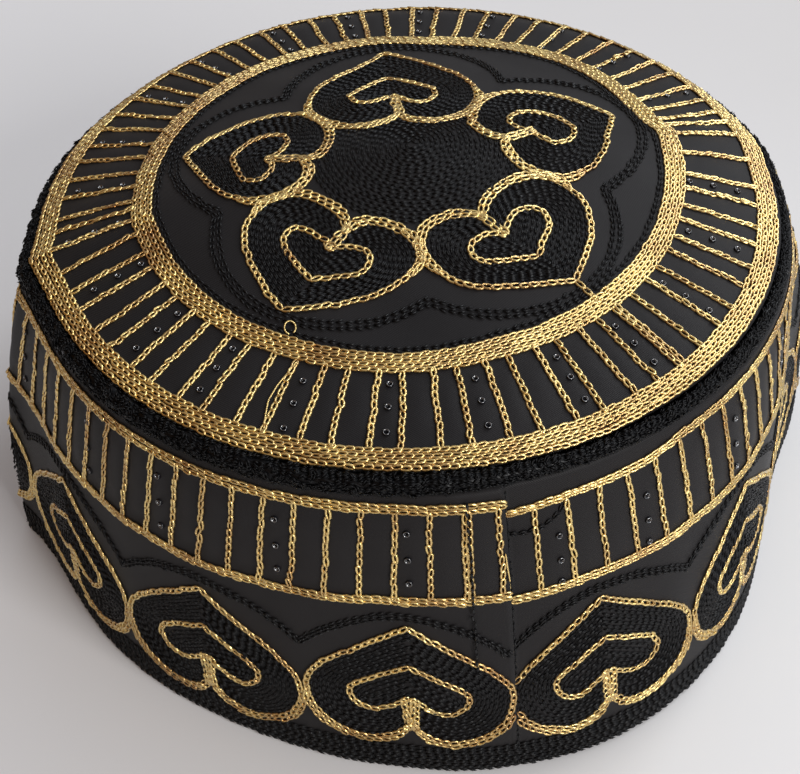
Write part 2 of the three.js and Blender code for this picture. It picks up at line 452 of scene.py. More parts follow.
def band(angle, level, sunk=0.0, lapped=True):
    """Point on the band's outer face at a bearing in degrees and a level in millimetres up the cloth. The
    cloth is sheared a little near the seam, which leans, and puffs between the spokes."""
    up = level / BAND_HEIGHT
    radius = band_radius(angle, up) + (lap_rise(angle) if lapped else 0.0) - sunk
    past = turn_from(SEAM_AT, angle)
    flare = np.exp(-(past / UNDER_FLARE["width"]) ** 2) * (past > 0.0) * (1.0 - np.clip(up, 0.0, 1.0)) ** 2
    radius = radius + UNDER_FLARE["out"] * flare
    radius = radius + CELL_PUFF * puffed(angle, side_spokes) * between(level, *BAND_CELLS, CELL_SOFT)
    turn = np.radians(angle + SEAM_LEAN * (1.0 - up) * np.exp(-(past / SEAM_LEAN_REACH) ** 2))
    edge = top_height(TOP_RADIUS * np.cos(turn), TOP_RADIUS * np.sin(turn))
    return np.stack([radius * np.cos(turn), radius * np.sin(turn), up * (edge - BAND_DROP)], -1)


bearings = np.linspace(SEAM_AT + SEAM_STEP, SEAM_AT + 360.0, COLUMNS)[None, :]
outer_levels = np.linspace(BAND_HEIGHT + TUCKED_UNDER, FOOT_LEVEL, BAND_ROWS)[:, None]
inner_levels = np.linspace(FOOT_LEVEL, BAND_HEIGHT, BAND_INNER_ROWS)[:, None]
edge_sunk, edge_levels = np.array(FOOT_EDGE).T[:, :, None]
shell = np.concatenate([
    band(bearings, outer_levels),
    band(bearings, edge_levels, edge_sunk),
    band(bearings, inner_levels, CLOTH, False),
])
up_cloth = np.vstack([outer_levels, edge_levels, -inner_levels, outer_levels[:1]])[:, 0] * MM
along = np.radians(np.append(bearings[0], bearings[0, 0] + 360.0)) * FOOT_RADIUS * MM
i, j = np.meshgrid(np.arange(len(shell)), np.arange(COLUMNS), indexing="ij")
corner_uv = np.stack([along[[j, j, j + 1, j + 1]], up_cloth[[i, i + 1, i + 1, i]]], -1)
corner_uv = np.moveaxis(corner_uv, 0, 2)
quads = grid_quads(len(shell), COLUMNS, True)
side_band = make_mesh("side_band_cloth", in_metres(shell), quads, None, corner_uv)
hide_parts("side_band")
dress([side_band], black_satin)

# The edge roll is a soft black piping between the top and the band. It is worked all over in black
# chain stitch, so that it looks like crochet, and its outline is knobbly like a rope's.
ROLL_RADIUS = 78.1
ROLL_SHAPE = [
    (-150, 1.8, 2.1, 2.6), (-96, 1.8, 1.9, 2.5), (-84, 1.2, 1.35, 2.4), (-20, 1.1, 1.3, 2.8),
    (8, 1.2, 1.6, 3.4), (45, 1.3, 1.9, 5.2), (120, 1.3, 1.9, 5.2), (148, 1.2, 1.9, 4.0),
    (175, 1.5, 2.1, 2.8),
]
ROLL_RIM_SHARE = 0.7
ROLL_COLUMNS = 480
ROLL_SIDES = 14
KNOBS = 96
KNOB_RISE = 0.12
ROLL_ROWS = (104.0, 86.0, 68.0, 50.0, 32.0, 14.0, -4.0, -22.0, -40.0, -58.0)
ROLL_ROW_POINTS = 720
ROLL_ROW_START = 0.73
ROLL_PITCH = 1.3
ROLL_STITCH_WIDTH = 0.85
ROLL_CORD = 0.21
# The dark end is the cord's dark tone and the painted shade where it dives into the cloth; the light end is
# its light tone.
ROLL_DARK_TONE_AND_SHADE = (0.0015, 0.0015, 0.002)
ROLL_LIGHT_TONE_UNSHADED = (0.005, 0.005, 0.0055)
SPINDLE_LINE = [(-0.12, 0.08, 0.08), (0.5, 0.27, 0.22), (1.12, 0.40, 0.28)]
STITCH_UNEVEN = 0.12
# The height over the cloth at which a stitch's painted shade has cleared.
SHADE_CLEAR_HEIGHT = 0.8
SLANT = (0.31, 0.52, 0.79)
TONE_SHARE = 0.45
PATCH_SHARE = 0.5
# How much a stitch's height lightens its colour: painted shade low down, where the thread dives into the
# cloth.
HEIGHT_SHADE_SHARE = 0.55
TONES_FROM, TONES_TO = 0.12, 0.85


def roll(angle, round_it):
    """Point on the edge roll by two angles in degrees: an oval section that follows the top's edge, with
    slanting knobs round it. The oval is flatter right of the seam, and lies lower at the back."""
    turn, section = np.radians(angle), np.radians(round_it)
    at, *shape = zip(*ROLL_SHAPE)
    half_width, half_height, drop = (np.interp(angle, at, value, period=360.0) for value in shape)
    swell = 1.0 + KNOB_RISE * np.cos(KNOBS * turn + section)
    middle = ROLL_RADIUS + fold_out(angle, 1.0) + ROLL_RIM_SHARE * rim_shift(angle)
    radius = middle + half_width * swell * np.cos(section)
    edge = top_height(TOP_RADIUS * np.cos(turn), TOP_RADIUS * np.sin(turn))
    height = edge - drop + half_height * swell * np.sin(section)
    return np.stack([radius * np.cos(turn), radius * np.sin(turn), height], -1)


def facing(surface, first, second, step=0.01):
    """Unit outward direction of a surface: the cross product of its slopes along the two parameters."""
    one = surface(first + step, second) - surface(first - step, second)
    other = surface(first, second + step) - surface(first, second - step)
    out = np.cross(one, other)
    return out / np.linalg.norm(out, axis=-1, keepdims=True)


def drawn(first, second):
    """A path on a surface as pairs of its two parameters, either of which may be the same all along."""
    return np.stack(np.broadcast_arrays(first, second), 1)


def stitch_row(surface, path, pitch, width):
    """Stitches along a path drawn on a surface. The path's length is cut into equal steps of about one
    pitch. Each stitch gets its foot, its direction to the next foot, the outward direction, its length and
    its width."""
    path = np.asarray(path, float)
    steps = np.linalg.norm(np.diff(surface(*path.T), axis=0), axis=1)
    run = np.concatenate([[0.0], np.cumsum(steps)])
    count = max(1, round(run[-1] / pitch))
    ends = np.linspace(0.0, run[-1], count + 1)
    first, second = np.interp(ends, run, path[:, 0]), np.interp(ends, run, path[:, 1])
    feet = surface(first, second)
    ahead = np.diff(feet, axis=0)
    length = np.linalg.norm(ahead, axis=1, keepdims=True)
    ahead = ahead / np.maximum(length, 1e-9)
    out = facing(surface, (first[1:] + first[:-1]) / 2, (second[1:] + second[:-1]) / 2)
    out = out - ahead * np.sum(out * ahead, axis=1, keepdims=True)
    out = out / np.linalg.norm(out, axis=1, keepdims=True)
    return np.hstack([feet[:-1], ahead, out, length, np.full_like(length, width)])


def strand_tube(path, thick, sides=6):
    """Points and faces of a loose strand: a circle carried along a path, across the path's own direction,
    which shrinks to a point at both ends."""
    heading = np.gradient(path, axis=0)
    heading /= np.linalg.norm(heading, axis=1, keepdims=True)
    across = np.cross(heading, SLANT)
    across /= np.linalg.norm(across, axis=1, keepdims=True)
    turn = 2.0 * np.pi * np.arange(sides)[None, :, None] / sides
    ring = np.cos(turn) * across[:, None] + np.sin(turn) * np.cross(heading, across)[:, None]
    step = np.arange(len(path))
    girth = thick * np.minimum(np.minimum(step, step[::-1]), 1)[:, None, None]
    return (path[:, None] + girth * ring).reshape(-1, 3), grid_quads(len(path), sides)[:, ::-1]


def place_stitches(name, rows, template, rounding, faces, seed, stray=0.0, slip=0.0, strands=(), thick=0.0):
    """One joined mesh of a stitch repeated along rows. The template's points are shares of a stitch's
    length and width, rounding adds the thread's thickness in millimetres, stray turns each stitch by a
    little, in degrees, and slip moves each row along by a share of a stitch. Loose strands are paths of the
    same thread, that thick."""
    chance = np.random.default_rng(seed)
    slide = np.repeat(chance.uniform(-slip, slip, len(rows)), [len(row) for row in rows])[:, None]
    rows = np.vstack(rows)
    rows[:, 0:3] += slide * rows[:, 9:10] * rows[:, 3:6]
    foot, ahead, out = rows[:, None, 0:3], rows[:, None, 3:6], rows[:, None, 6:9]
    across = np.cross(out, ahead)
    yaw, tilt = np.radians(chance.normal(0.0, stray, (2, len(rows), 1, 1)))
    ahead, across = ahead * np.cos(yaw) + across * np.sin(yaw), across * np.cos(yaw) - ahead * np.sin(yaw)
    across, out = across * np.cos(tilt) + out * np.sin(tilt), out * np.cos(tilt) - across * np.sin(tilt)
    size = np.stack([rows[:, 9], rows[:, 10], np.ones(len(rows))], -1)[:, None, :]
    local = template[None] * size + rounding[None]
    local[..., 2] *= 1.0 + STITCH_UNEVEN * chance.normal(0.0, 1.0, (len(rows), 1))
    points = foot + local[..., 0:1] * ahead + local[..., 1:2] * across + local[..., 2:3] * out
    points = points.reshape(-1, 3)
    every = (faces[None] + np.arange(len(rows))[:, None, None] * len(template)).reshape(-1, faces.shape[1])
    tone = np.repeat(chance.random(len(rows)), len(template))
    # How high each point lies over the cloth, which the thread materials turn into painted shade low down.
    height = np.clip(local[..., 2] / SHADE_CLEAR_HEIGHT, 0.0, 1.0).ravel()
    for path in strands:
        tube, sides = strand_tube(path, thick)
        every = np.vstack([every, sides + len(points)])
        points = np.vstack([points, tube])
        tone, height = (np.append(value, np.ones(len(tube))) for value in (tone, height))
    piece = make_mesh(name, in_metres(points), **{"quads" if faces.shape[1] == 4 else "tris": every})
    for key, value in (("tone", tone), ("height", height)):
        piece.data.attributes.new(key, "FLOAT", "POINT").data.foreach_set("value", value.astype(np.float32))
    return piece


def cord_stitch(cord):
    """Black chain stitch: two spindles that lean apart like a V. A spindle is a tip, four points on a circle
    round its middle, and another tip."""
    q = np.arange(4)
    turn, ahead = q * np.pi / 2, (q + 1) % 4
    line = np.repeat(SPINDLE_LINE, [1, 4, 1], axis=0)
    circle = np.pad(cord * np.stack([0.0 * turn, np.cos(turn), np.sin(turn)], 1), ((1, 1), (0, 0)))
    near, far = np.stack([0 * q, 1 + ahead, 1 + q], 1), np.stack([0 * q + 5, 1 + q, 1 + ahead], 1)
    faces = np.stack([near, far], 1).reshape(-1, 3)
    pair = np.vstack([line * [1, -1, 1], line])
    return pair, np.vstack([circle, circle]), np.vstack([faces, faces + len(line)])


def thread_plies_tone_and_shade():
    """Group for a twisted thread: its fine slanting plies, a tone that drifts along the rows, and the two
    values that each stitch carries, which are its own tone and how high its points lie, for painted shade."""
    group = bpy.data.node_groups.new("thread_plies_tone_and_shade", "ShaderNodeTree")
    for key, value in (("Ply Scale", 900.0), ("Drift Scale", 60.0)):
        group.interface.new_socket(key, in_out="INPUT", socket_type="NodeSocketFloat").default_value = value
    for key in ("Plies", "Drift", "Tone", "Height"):
        group.interface.new_socket(key, in_out="OUTPUT", socket_type="NodeSocketFloat")
    into, outof = add_node(group, "NodeGroupInput"), add_node(group, "NodeGroupOutput")
    place = add_node(group, "ShaderNodeTexCoord")
    plies = add_node(group, "ShaderNodeTexWave", bands_direction="DIAGONAL")
    drift = add_node(group, "ShaderNodeTexNoise", {"Detail": 3.0})
    patches = add_node(group, "ShaderNodeMapRange", {"From Min": 0.32, "From Max": 0.68})
    tone = add_node(group, "ShaderNodeAttribute", attribute_name="tone")
    height = add_node(group, "ShaderNodeAttribute", attribute_name="height")
    wire(
        group,
        (place, "Object", plies, "Vector"),
        (place, "Object", drift, "Vector"),
        (into, "Ply Scale", plies, "Scale"),
        (into, "Drift Scale", drift, "Scale"),
        (plies, "Fac", outof, "Plies"),
        (drift, "Fac", patches, "Value"),
        (patches, "Result", outof, "Drift"),
        (tone, "Fac", outof, "Tone"),
        (height, "Fac", outof, "Height"),
    )
    return group


def thread_material(name, low, high, roughness, ply_scale, constants):
    """Thread: painted shade makes it dark where it dives into the cloth and light on top, and each stitch has
    its own tone.
    """
    material, tree, shader = new_material(name, constants)
    plies_tone_and_shade = add_node(tree, "ShaderNodeGroup", node_tree=twisted_thread)
    plies_tone_and_shade.inputs["Ply Scale"].default_value = ply_scale
    mixed = add_node(tree, "ShaderNodeMath", {1: TONE_SHARE}, operation="MULTIPLY_ADD")
    lowered = add_node(tree, "ShaderNodeMath", {1: PATCH_SHARE}, operation="MULTIPLY")
    # Painted shade: the thread's colour is darker where its points lie low, added to its own tone and drift.
    tone_and_painted_shade = add_node(tree, "ShaderNodeMath", {1: HEIGHT_SHADE_SHARE}, operation="MULTIPLY_ADD")
    tones = add_ramp(tree, (TONES_FROM, low), (TONES_TO, high))
    rough = add_node(tree, "ShaderNodeMapRange", {"To Min": roughness[0], "To Max": roughness[1]})
    bump = add_node(tree, "ShaderNodeBump", {"Strength": 0.3, "Distance": 0.0001})
    wire(
        tree,
        (plies_tone_and_shade, "Tone", mixed, 0),
        (plies_tone_and_shade, "Drift", mixed, 2),
        (mixed, "Value", lowered, 0),
        (plies_tone_and_shade, "Height", tone_and_painted_shade, 0),
        (lowered, "Value", tone_and_painted_shade, 2),
        (tone_and_painted_shade, "Value", tones, "Fac"),
        (tones, "Color", shader, "Base Color"),
        (plies_tone_and_shade, "Tone", rough, "Value"),
        (rough, "Result", shader, "Roughness"),
        (plies_tone_and_shade, "Plies", bump, "Height"),
        (bump, "Normal", shader, "Normal"),
    )
    return material


bearings = np.linspace(0.0, 360.0, ROLL_COLUMNS, endpoint=False)
sections = np.linspace(90.0, -270.0, ROLL_SIDES, endpoint=False)
shell = roll(*np.meshgrid(bearings, sections))
edge_roll = make_mesh("edge_roll_piping", in_metres(shell), grid_quads(ROLL_SIDES, ROLL_COLUMNS, True))
once_round = np.linspace(SEAM_AT, SEAM_AT + 360.0, ROLL_ROW_POINTS)
paths = [drawn(once_round + section * ROLL_ROW_START, section) for section in ROLL_ROWS]
rows = [stitch_row(roll, path, ROLL_PITCH, ROLL_STITCH_WIDTH) for path in paths]
roll_stitches = place_stitches(
    "edge_roll_stitches", rows, *cord_stitch(ROLL_CORD), seed=3, stray=28.0, slip=0.5
)
twisted_thread = thread_plies_tone_and_shade()
roll_gloss = {"Specular IOR Level": 0.17}
roll_cord = thread_material("roll_cord", ROLL_DARK_TONE_AND_SHADE, ROLL_LIGHT_TONE_UNSHADED, (0.34, 0.60), 700.0, roll_gloss)
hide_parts("edge_roll")
dress([edge_roll, roll_stitches], roll_cord)

# Two rings of gold chain stitch on the top, four rows each, and the spokes between them. The outer
# ring is worked round the rim, the inner one wanders a little, and the spokes come in pairs. A bowed
# strand and a curl of the same thread have come loose.
OUTER_RING = (73.2, 74.3, 75.4, 76.5)
INNER_RING_ROWS = (-1.65, -0.55, 0.55, 1.65)
INNER_RING = [
    (-178, 55.1), (-150, 55.25), (-130, 55.1), (-105, 54.9), (-95, 54.5), (-85, 54.0), (-57, 53.9),
    (-25, 54.1), (-5, 55.2), (1, 55.7), (5, 53.9), (15, 54.2), (30, 55.9), (40, 56.7), (50, 56.0),
    (75, 54.0), (87, 55.2), (115, 55.7), (130, 55.2), (150, 54.6), (170, 54.6), (182, 55.1),
]
RING_POINTS = 721
RING_PITCH = 1.68
RING_WIDTH = 1.15
SPOKE_PITCH = 1.67
SPOKE_WIDTH = 1.35
SPOKE_POINTS = 24
SPOKE_OUTER_END = 72.9
SPOKE_INNER_GAP = 2.0
DOUBLE_SPOKE = (-58.5, -58.4)
# The dark end is the thread's dark tone and the painted shade low in the cloth; the light end is its light
# tone, unshaded.
GOLD_DARK_TONE_AND_SHADE = (0.26, 0.079, 0.004)
GOLD_LIGHT_TONE_UNSHADED = (0.79, 0.59, 0.225)
LOOP_POINTS = 8
LOOP_SIDES = 4
LOOP_REACH, LOOP_BACK = 1.30, 0.06
LOOP_HALF_WIDTH, LOOP_WIDENS = 0.30, 0.08
LOOP_LOW, LOOP_CLIMB = 0.16, 0.22
THREAD_RADIUS = 0.285
STRAND_RADIUS = 0.15
STRAND_POINTS = 30
BOWED_STRAND = [
    (-122.8, 72.8), (-123.5, 70.2), (-124.2, 67.0), (-124.0, 63.5), (-123.3, 60.0), (-122.8, 57.6),
]
BOWED_LIFT = 0.35
CURL_AT = (-127.2, 51.6)
CURL_RADIUS = 1.05
CURL_TURN = (-0.4, 1.4)
CURL_LIFT = (0.4, 0.9)
CURL_WAVE = (1.8, 0.6)


def gold_stitch():
    """Gold chain stitch: a thread bent into a teardrop that starts narrow and low, and ends wide and high,
    where the next one comes out of it. The loop is a sine across against a cosine along, and its thread has
    a square section, set on edge."""
    turn = 2.0 * np.pi * np.arange(LOOP_POINTS) / LOOP_POINTS
    reach = (1.0 - np.cos(turn)) / 2.0
    spread = np.sin(turn) * (LOOP_HALF_WIDTH + LOOP_WIDENS * reach)
    centre = np.stack([LOOP_REACH * reach - LOOP_BACK, spread, LOOP_LOW + LOOP_CLIMB * reach], -1)
    real = centre * [SPOKE_PITCH, RING_WIDTH, 1.0]
    heading = np.roll(real, -1, 0) - np.roll(real, 1, 0)
    outward = np.stack([heading[:, 1], -heading[:, 0], np.zeros(LOOP_POINTS)], -1)
    outward /= np.linalg.norm(outward, axis=1, keepdims=True)
    side = np.arange(LOOP_SIDES)[None, :, None] * 2.0 * np.pi / LOOP_SIDES
    rounding = THREAD_RADIUS * (outward[:, None] * np.cos(side) + np.array([0, 0, 1.0]) * np.sin(side))
    faces = grid_quads(LOOP_POINTS, LOOP_SIDES, True)
    return np.repeat(centre, LOOP_SIDES, 0), rounding.reshape(-1, 3), faces


def inner_ring(at):
    """Radius of the middle of the inner ring at a bearing, by straight steps between measured places."""
    return np.interp(at, *zip(*INNER_RING), period=360.0)


def spoke_path(outer, inner):
    """Plan points on a line from one bearing at the outer ring to another at the inner ring."""
    share = np.linspace(0.0, 1.0, SPOKE_POINTS)
    start, end = SPOKE_OUTER_END + rim_shift(outer), inner_ring(inner) + SPOKE_INNER_GAP
    return drawn(*plan_points(start + (end - start) * share, outer + (inner - outer) * share))


def stepped(points, count):
    """The two coordinates of many points along a line through a few, by straight steps."""
    share = np.linspace(0.0, 1.0, len(points))
    return [np.interp(np.linspace(0.0, 1.0, count), share, value) for value in zip(*points)]


gold_shine = {
    "Metallic": 0.85, "Specular IOR Level": 0.6, "Coat Weight": 0.6, "Coat Roughness": 0.18, "Coat IOR": 1.6,
}
gold_thread = thread_material("gold_thread", GOLD_DARK_TONE_AND_SHADE, GOLD_LIGHT_TONE_UNSHADED, (0.20, 0.34), 900.0, gold_shine)
around = np.linspace(-180.0, 180.0, RING_POINTS)
rings = [radius + rim_shift(around) for radius in OUTER_RING]
rings += [inner_ring(around) + shift for shift in INNER_RING_ROWS]
rows = [stitch_row(crown, drawn(*plan_points(far, around)), RING_PITCH, RING_WIDTH) for far in rings]
gold_rings = place_stitches("top_gold_rings", rows, *gold_stitch(), seed=11, stray=4.0, slip=0.5)

paths = [spoke_path(*ends) for ends in spokes + [DOUBLE_SPOKE]]
paths[::2] = [path[::-1] for path in paths[::2]]
rows = [stitch_row(crown, path, SPOKE_PITCH, SPOKE_WIDTH) for path in paths]
at, far = stepped(BOWED_STRAND, STRAND_POINTS)
bowed = crown(*plan_points(far, at)) + [0.0, 0.0, BOWED_LIFT]
turn = np.linspace(*CURL_TURN, STRAND_POINTS) * np.pi
curl_x, curl_y = plan_points(CURL_AT[1], CURL_AT[0])
curl = crown(curl_x + CURL_RADIUS * np.cos(turn), curl_y + CURL_RADIUS * np.sin(turn))
curl[:, 2] += CURL_LIFT[0] + CURL_LIFT[1] * np.sin(turn / CURL_WAVE[0] + CURL_WAVE[1]) ** 2
gold_spokes = place_stitches(
    "top_gold_spokes", rows, *gold_stitch(), seed=12, stray=5.0, strands=(bowed, curl), thick=STRAND_RADIUS
)
dress([gold_rings, gold_spokes], gold_thread)

# Five hearts on the top with their points outwards, each an outline of gold chain stitch with a small
# heart inside it on a short stem. The sides towards the middle are worked twice.
HEARTS = [
    dict(
        tip=(3.8, 46.8), notch=(0.8, 13.0),
        one=[(9, 42), (14, 35), (17.7, 29), (19.2, 23), (18, 16), (14.2, 10.6), (8.5, 8.4), (3.2, 9.7)],
        other=[
            (-2, 41.5), (-9, 37), (-14, 32), (-16.6, 26),
            (-16.6, 20), (-14, 14.5), (-8.6, 10.8), (-3, 11),
        ],
        small_tip=(1.8, 32.8), small_notch=(1.5, 22.0),
        small_one=[(5.5, 29), (9.5, 25), (10.6, 21.5), (8.5, 18.5), (5.3, 18.2), (3, 20.3)],
        small_other=[(-2, 30), (-6.5, 27), (-7.8, 24), (-6, 20.9), (-3.4, 20.6), (-0.6, 21.6)],
    ),
    dict(
        tip=(45.8, 7.2), notch=(20.5, -1.0),
        one=[(43.5, 2), (40.5, -5), (36.5, -10.5), (30.5, -13.5), (24.5, -12.5), (21, -8), (20, -4)],
        other=[(37, 15.5), (31, 18.2), (25, 18.8), (20, 15.5), (16.5, 10), (15.4, 5), (17.3, 0.8)],
        small_tip=(35.2, 2.5), small_notch=(26.5, 0.8),
        small_one=[(35, -1), (32, -3.5), (29, -3), (27, -0.8)],
        small_other=[(33, 5.5), (29, 8), (24.5, 7.8), (22.5, 5), (24, 2)],
    ),
    dict(
        tip=(24.0, -40.5), notch=(10.5, -23.0),
        one=[
            (19, -40.4), (13, -40.2), (5, -39.3), (0, -36),
            (-3, -30), (-2, -24.5), (3, -21.5), (7.6, -21.6),
        ],
        other=[
            (27.5, -35), (30.5, -29), (31.5, -22), (29, -16.5),
            (24, -13.5), (18.5, -14.2), (13.5, -17.5), (11, -20.8),
        ],
        small_tip=(18.5, -33.5), small_notch=(13.5, -27.5),
        small_one=[(13, -33.8), (7, -33.2), (5.8, -30), (8.5, -27.3), (11.4, -27)],
        small_other=[(20.5, -30), (23, -25), (21, -21.7), (17, -22), (14.6, -25)],
    ),
    dict(
        tip=(-32.0, -36.0), notch=(-17.2, -20.8),
        one=[
            (-34, -31), (-35.8, -24), (-36.5, -18), (-35, -12.5), (-31, -9),
            (-26, -8.3), (-21.5, -10.8), (-18, -15), (-16.7, -18.4),
        ],
        other=[
            (-27, -37.2), (-20, -37.5), (-13, -37), (-7.5, -34.5),
            (-4.2, -30), (-5, -25.5), (-8.5, -21.5), (-13, -19.4),
        ],
        small_tip=(-25.5, -30.5), small_notch=(-20.8, -24.0),
        small_one=[(-27.5, -26), (-29, -21.5), (-28.5, -18), (-26, -17), (-23.2, -19), (-21.4, -22)],
        small_other=[(-21, -31), (-16, -31.5), (-13.5, -29.2), (-14, -26.5), (-17, -24.4)],
    ),
    dict(
        tip=(-45.0, 15.5), notch=(-22.0, 2.0),
        one=[
            (-39, 19.5), (-31, 22.8), (-24.5, 23.2), (-19, 20.8),
            (-16, 16), (-15.2, 10.5), (-16.5, 5), (-19, 2.1),
        ],
        other=[(-43.5, 10), (-41.8, 3.5), (-39, -2.5), (-34.5, -6.2), (-29, -7.5), (-24, -6), (-21.4, -3)],
        small_tip=(-35.5, 8.5), small_notch=(-28.5, 4.2),
        small_one=[(-32, 12.3), (-27.5, 14), (-24, 12.8), (-23.5, 9.5), (-25.8, 5.8)],
        small_other=[(-35, 3.5), (-33.8, -0.5), (-30.5, -1.8), (-28, 0.8)],
    ),
]
HEART_PITCH = 1.8
HEART_WIDTH = 1.55
HEART_ROW_GAP = 1.05
DOUBLED_FROM = 0.50
PARTING = 0.14
PARTING_POWER = 0.7
STEM_POINTS = 12
STEM_GAP = 0.5
TIP_TO_RING = [(24.0, -40.5), (26.9, -45.7)]


def through(points, steps=14):
    """Smooth curve through points: a span is the Catmull-Rom cubic of its ends and their neighbours."""
    p = np.asarray(points, float)
    p = np.vstack([2 * p[0] - p[1], p, 2 * p[-1] - p[-2]])
    t = np.linspace(0.0, 1.0, steps, endpoint=False)[None, :, None]
    a, b, c, d = p[:-3, None], p[1:-2, None], p[2:-1, None], p[3:, None]
    spans = 0.5 * (2 * b + (c - a) * t + (2 * a - 5 * b + 4 * c - d) * t**2 + (3 * b - a - 3 * c + d) * t**3)
    return np.vstack([spans.reshape(-1, 2), p[-2]])


def evenly(curve, count=60):
    """The same curve as points at equal distances along it."""
    run = np.concatenate([[0.0], np.cumsum(np.linalg.norm(np.diff(curve, axis=0), axis=1))])
    at = np.linspace(0.0, run[-1], count)
    return np.stack([np.interp(at, run, curve[:, 0]), np.interp(at, run, curve[:, 1])], 1)


def beside(curve, gap):
    """A curve at a distance to the left of another one, or to its right where the gap is negative."""
    heading = np.gradient(curve, axis=0)
    heading /= np.linalg.norm(heading, axis=1, keepdims=True)
    return curve + gap * np.stack([-heading[:, 1], heading[:, 0]], 1)


def drawn_apart(curve, gap, start, end=1.0):
    """A stretch of a second row beside a curve, which parts from it and comes back to it at its ends."""
    stretch = slice(int(start * len(curve)), int(end * len(curve)))
    share = np.linspace(0.0, 1.0, len(curve[stretch]))
    away = np.clip(np.minimum(share, 1.0 - share) / PARTING, 0.0, 1.0) ** PARTING_POWER
    near, far = curve[stretch], beside(curve, gap)[stretch]
    return near + (far - near) * away[:, None]


def heart_sides(heart, small=""):
    """The two halves of a heart's outline, each from its point over a lobe to its notch."""
    tip, notch = heart[small + "tip"], heart[small + "notch"]
    return [evenly(through([tip, *heart[small + half], notch])) for half in ("one", "other")]


paths = []
for heart in HEARTS:
    stem = np.linspace(heart["notch"], heart["small_notch"], STEM_POINTS)
    for outline, small_outline, hand in zip(heart_sides(heart), heart_sides(heart, "small_"), (1.0, -1.0)):
        heading = np.gradient(outline, axis=0)
        turned = np.sum(np.cross(heading[:-1], np.diff(heading, axis=0)))
        doubled = drawn_apart(outline, -np.sign(turned) * HEART_ROW_GAP, DOUBLED_FROM)
        paths += [outline, doubled, small_outline, beside(stem, STEM_GAP * hand)]
paths.append(np.linspace(*TIP_TO_RING, STEM_POINTS))
rows = [stitch_row(crown, path, HEART_PITCH, HEART_WIDTH) for path in paths]
gold_hearts = place_stitches("top_gold_hearts", rows, *gold_stitch(), seed=13, stray=5.0)
dress([gold_hearts], gold_thread)

# Black chain stitch on the top: rows that fill the hearts, a spiral that fills the middle, a double
# scalloped line round the hearts, and one line just inside the inner gold ring.
BLACK_PITCH = 1.8
BLACK_WIDTH = 0.6
FILL_CORD = 0.22
FILL_ROWS = 9
SMALL_FILL_ROWS = 4
FILL_LOBE = (0.4, 0.85)
FILL_TURNS_AT = 0.6
FILL_REACH = 0.3
SPIRAL_CENTRE = (1.0, 0.0)
SPIRAL_REACH = 22.0
SPIRAL_GAP = 1.0
SPIRAL_START = 0.002
SPIRAL_POINTS = 4000
CUSPS = [
    (43.9, 36.1, 49.6), (124.1, 37.4, 49.6), (191.3, 40.8, 49.6),
    (263.0, 40.8, 49.6), (334.8, 40.3, 51.2), (403.9, 36.1, 49.6),
]
SCALLOP_POWER = 0.85
SCALLOP_ROWS = (-0.68, 0.68)
BLACK_RING_INSIDE = 3.1
LINE_CORD = 0.25
LINE_WIDTH = 1.15
LINE_PITCH = 1.75
# The dark end is the cord's dark tone and the painted shade where it dives into the cloth; the light end is
# its light tone.
CORD_DARK_TONE_AND_SHADE = (0.0025, 0.0025, 0.003)
CORD_LIGHT_TONE_UNSHADED = (0.0075, 0.0075, 0.008)


def heart_fill(sides, small_sides):
    """Rows of a heart's filling: by even shares from its outline to the small heart's, and from that to its
    spine. The spine of a half goes from between point and notch out to the middle of the lobe, and back."""
    shares = (np.arange(FILL_ROWS) + 1.0) / (FILL_ROWS + 1.0)
    small_shares = (np.arange(SMALL_FILL_ROWS) + 1.0) / (SMALL_FILL_ROWS + FILL_REACH)
    paths = [side + (small - side) * share for side, small in zip(sides, small_sides) for share in shares]
    for small in small_sides:
        count = len(small)
        start, end = (int(share * count) for share in FILL_LOBE)
        lobe = np.mean(small[start:end], axis=0)
        fork = 0.5 * small[0] + 0.5 * small[-1]
        out = np.interp(np.linspace(0.0, 1.0, count), [0.0, FILL_TURNS_AT, 1.0], [0.0, 1.0, 0.0])[:, None]
        spine = fork + (lobe - fork) * out
        paths += [small + (spine - small) * share for share in small_shares]
    return paths


def within(polygon, points):
    """Whether points are inside a closed polygon: a ray from there crosses an odd number of its edges."""
    ax, ay = polygon.T[:, :, None]
    bx, by = np.roll(polygon, -1, 0).T[:, :, None]
    px, py = points.T[:, None]
    meets = (ay > py) != (by > py)
    level = np.where(by == ay, 1.0, by - ay)
    return np.sum(meets & (px < ax + (py - ay) / level * (bx - ax)), axis=0) % 2 == 1


def scallop(at):
    """Radius of the scalloped line: from cusp to cusp it bulges like a flattened half sine."""
    cusp_at, cusp_radius, bulge = np.array(CUSPS).T
    around = (at - cusp_at[0]) % 360.0 + cusp_at[0]
    lobe = np.clip(np.searchsorted(cusp_at, around, side="right") - 1, 0, len(CUSPS) - 2)
    share = (around - cusp_at[lobe]) / (cusp_at[lobe + 1] - cusp_at[lobe])
    base = cusp_radius[lobe] + (cusp_radius[lobe + 1] - cusp_radius[lobe]) * share
    return base + (bulge[lobe] - base) * np.abs(np.sin(np.pi * share)) ** SCALLOP_POWER


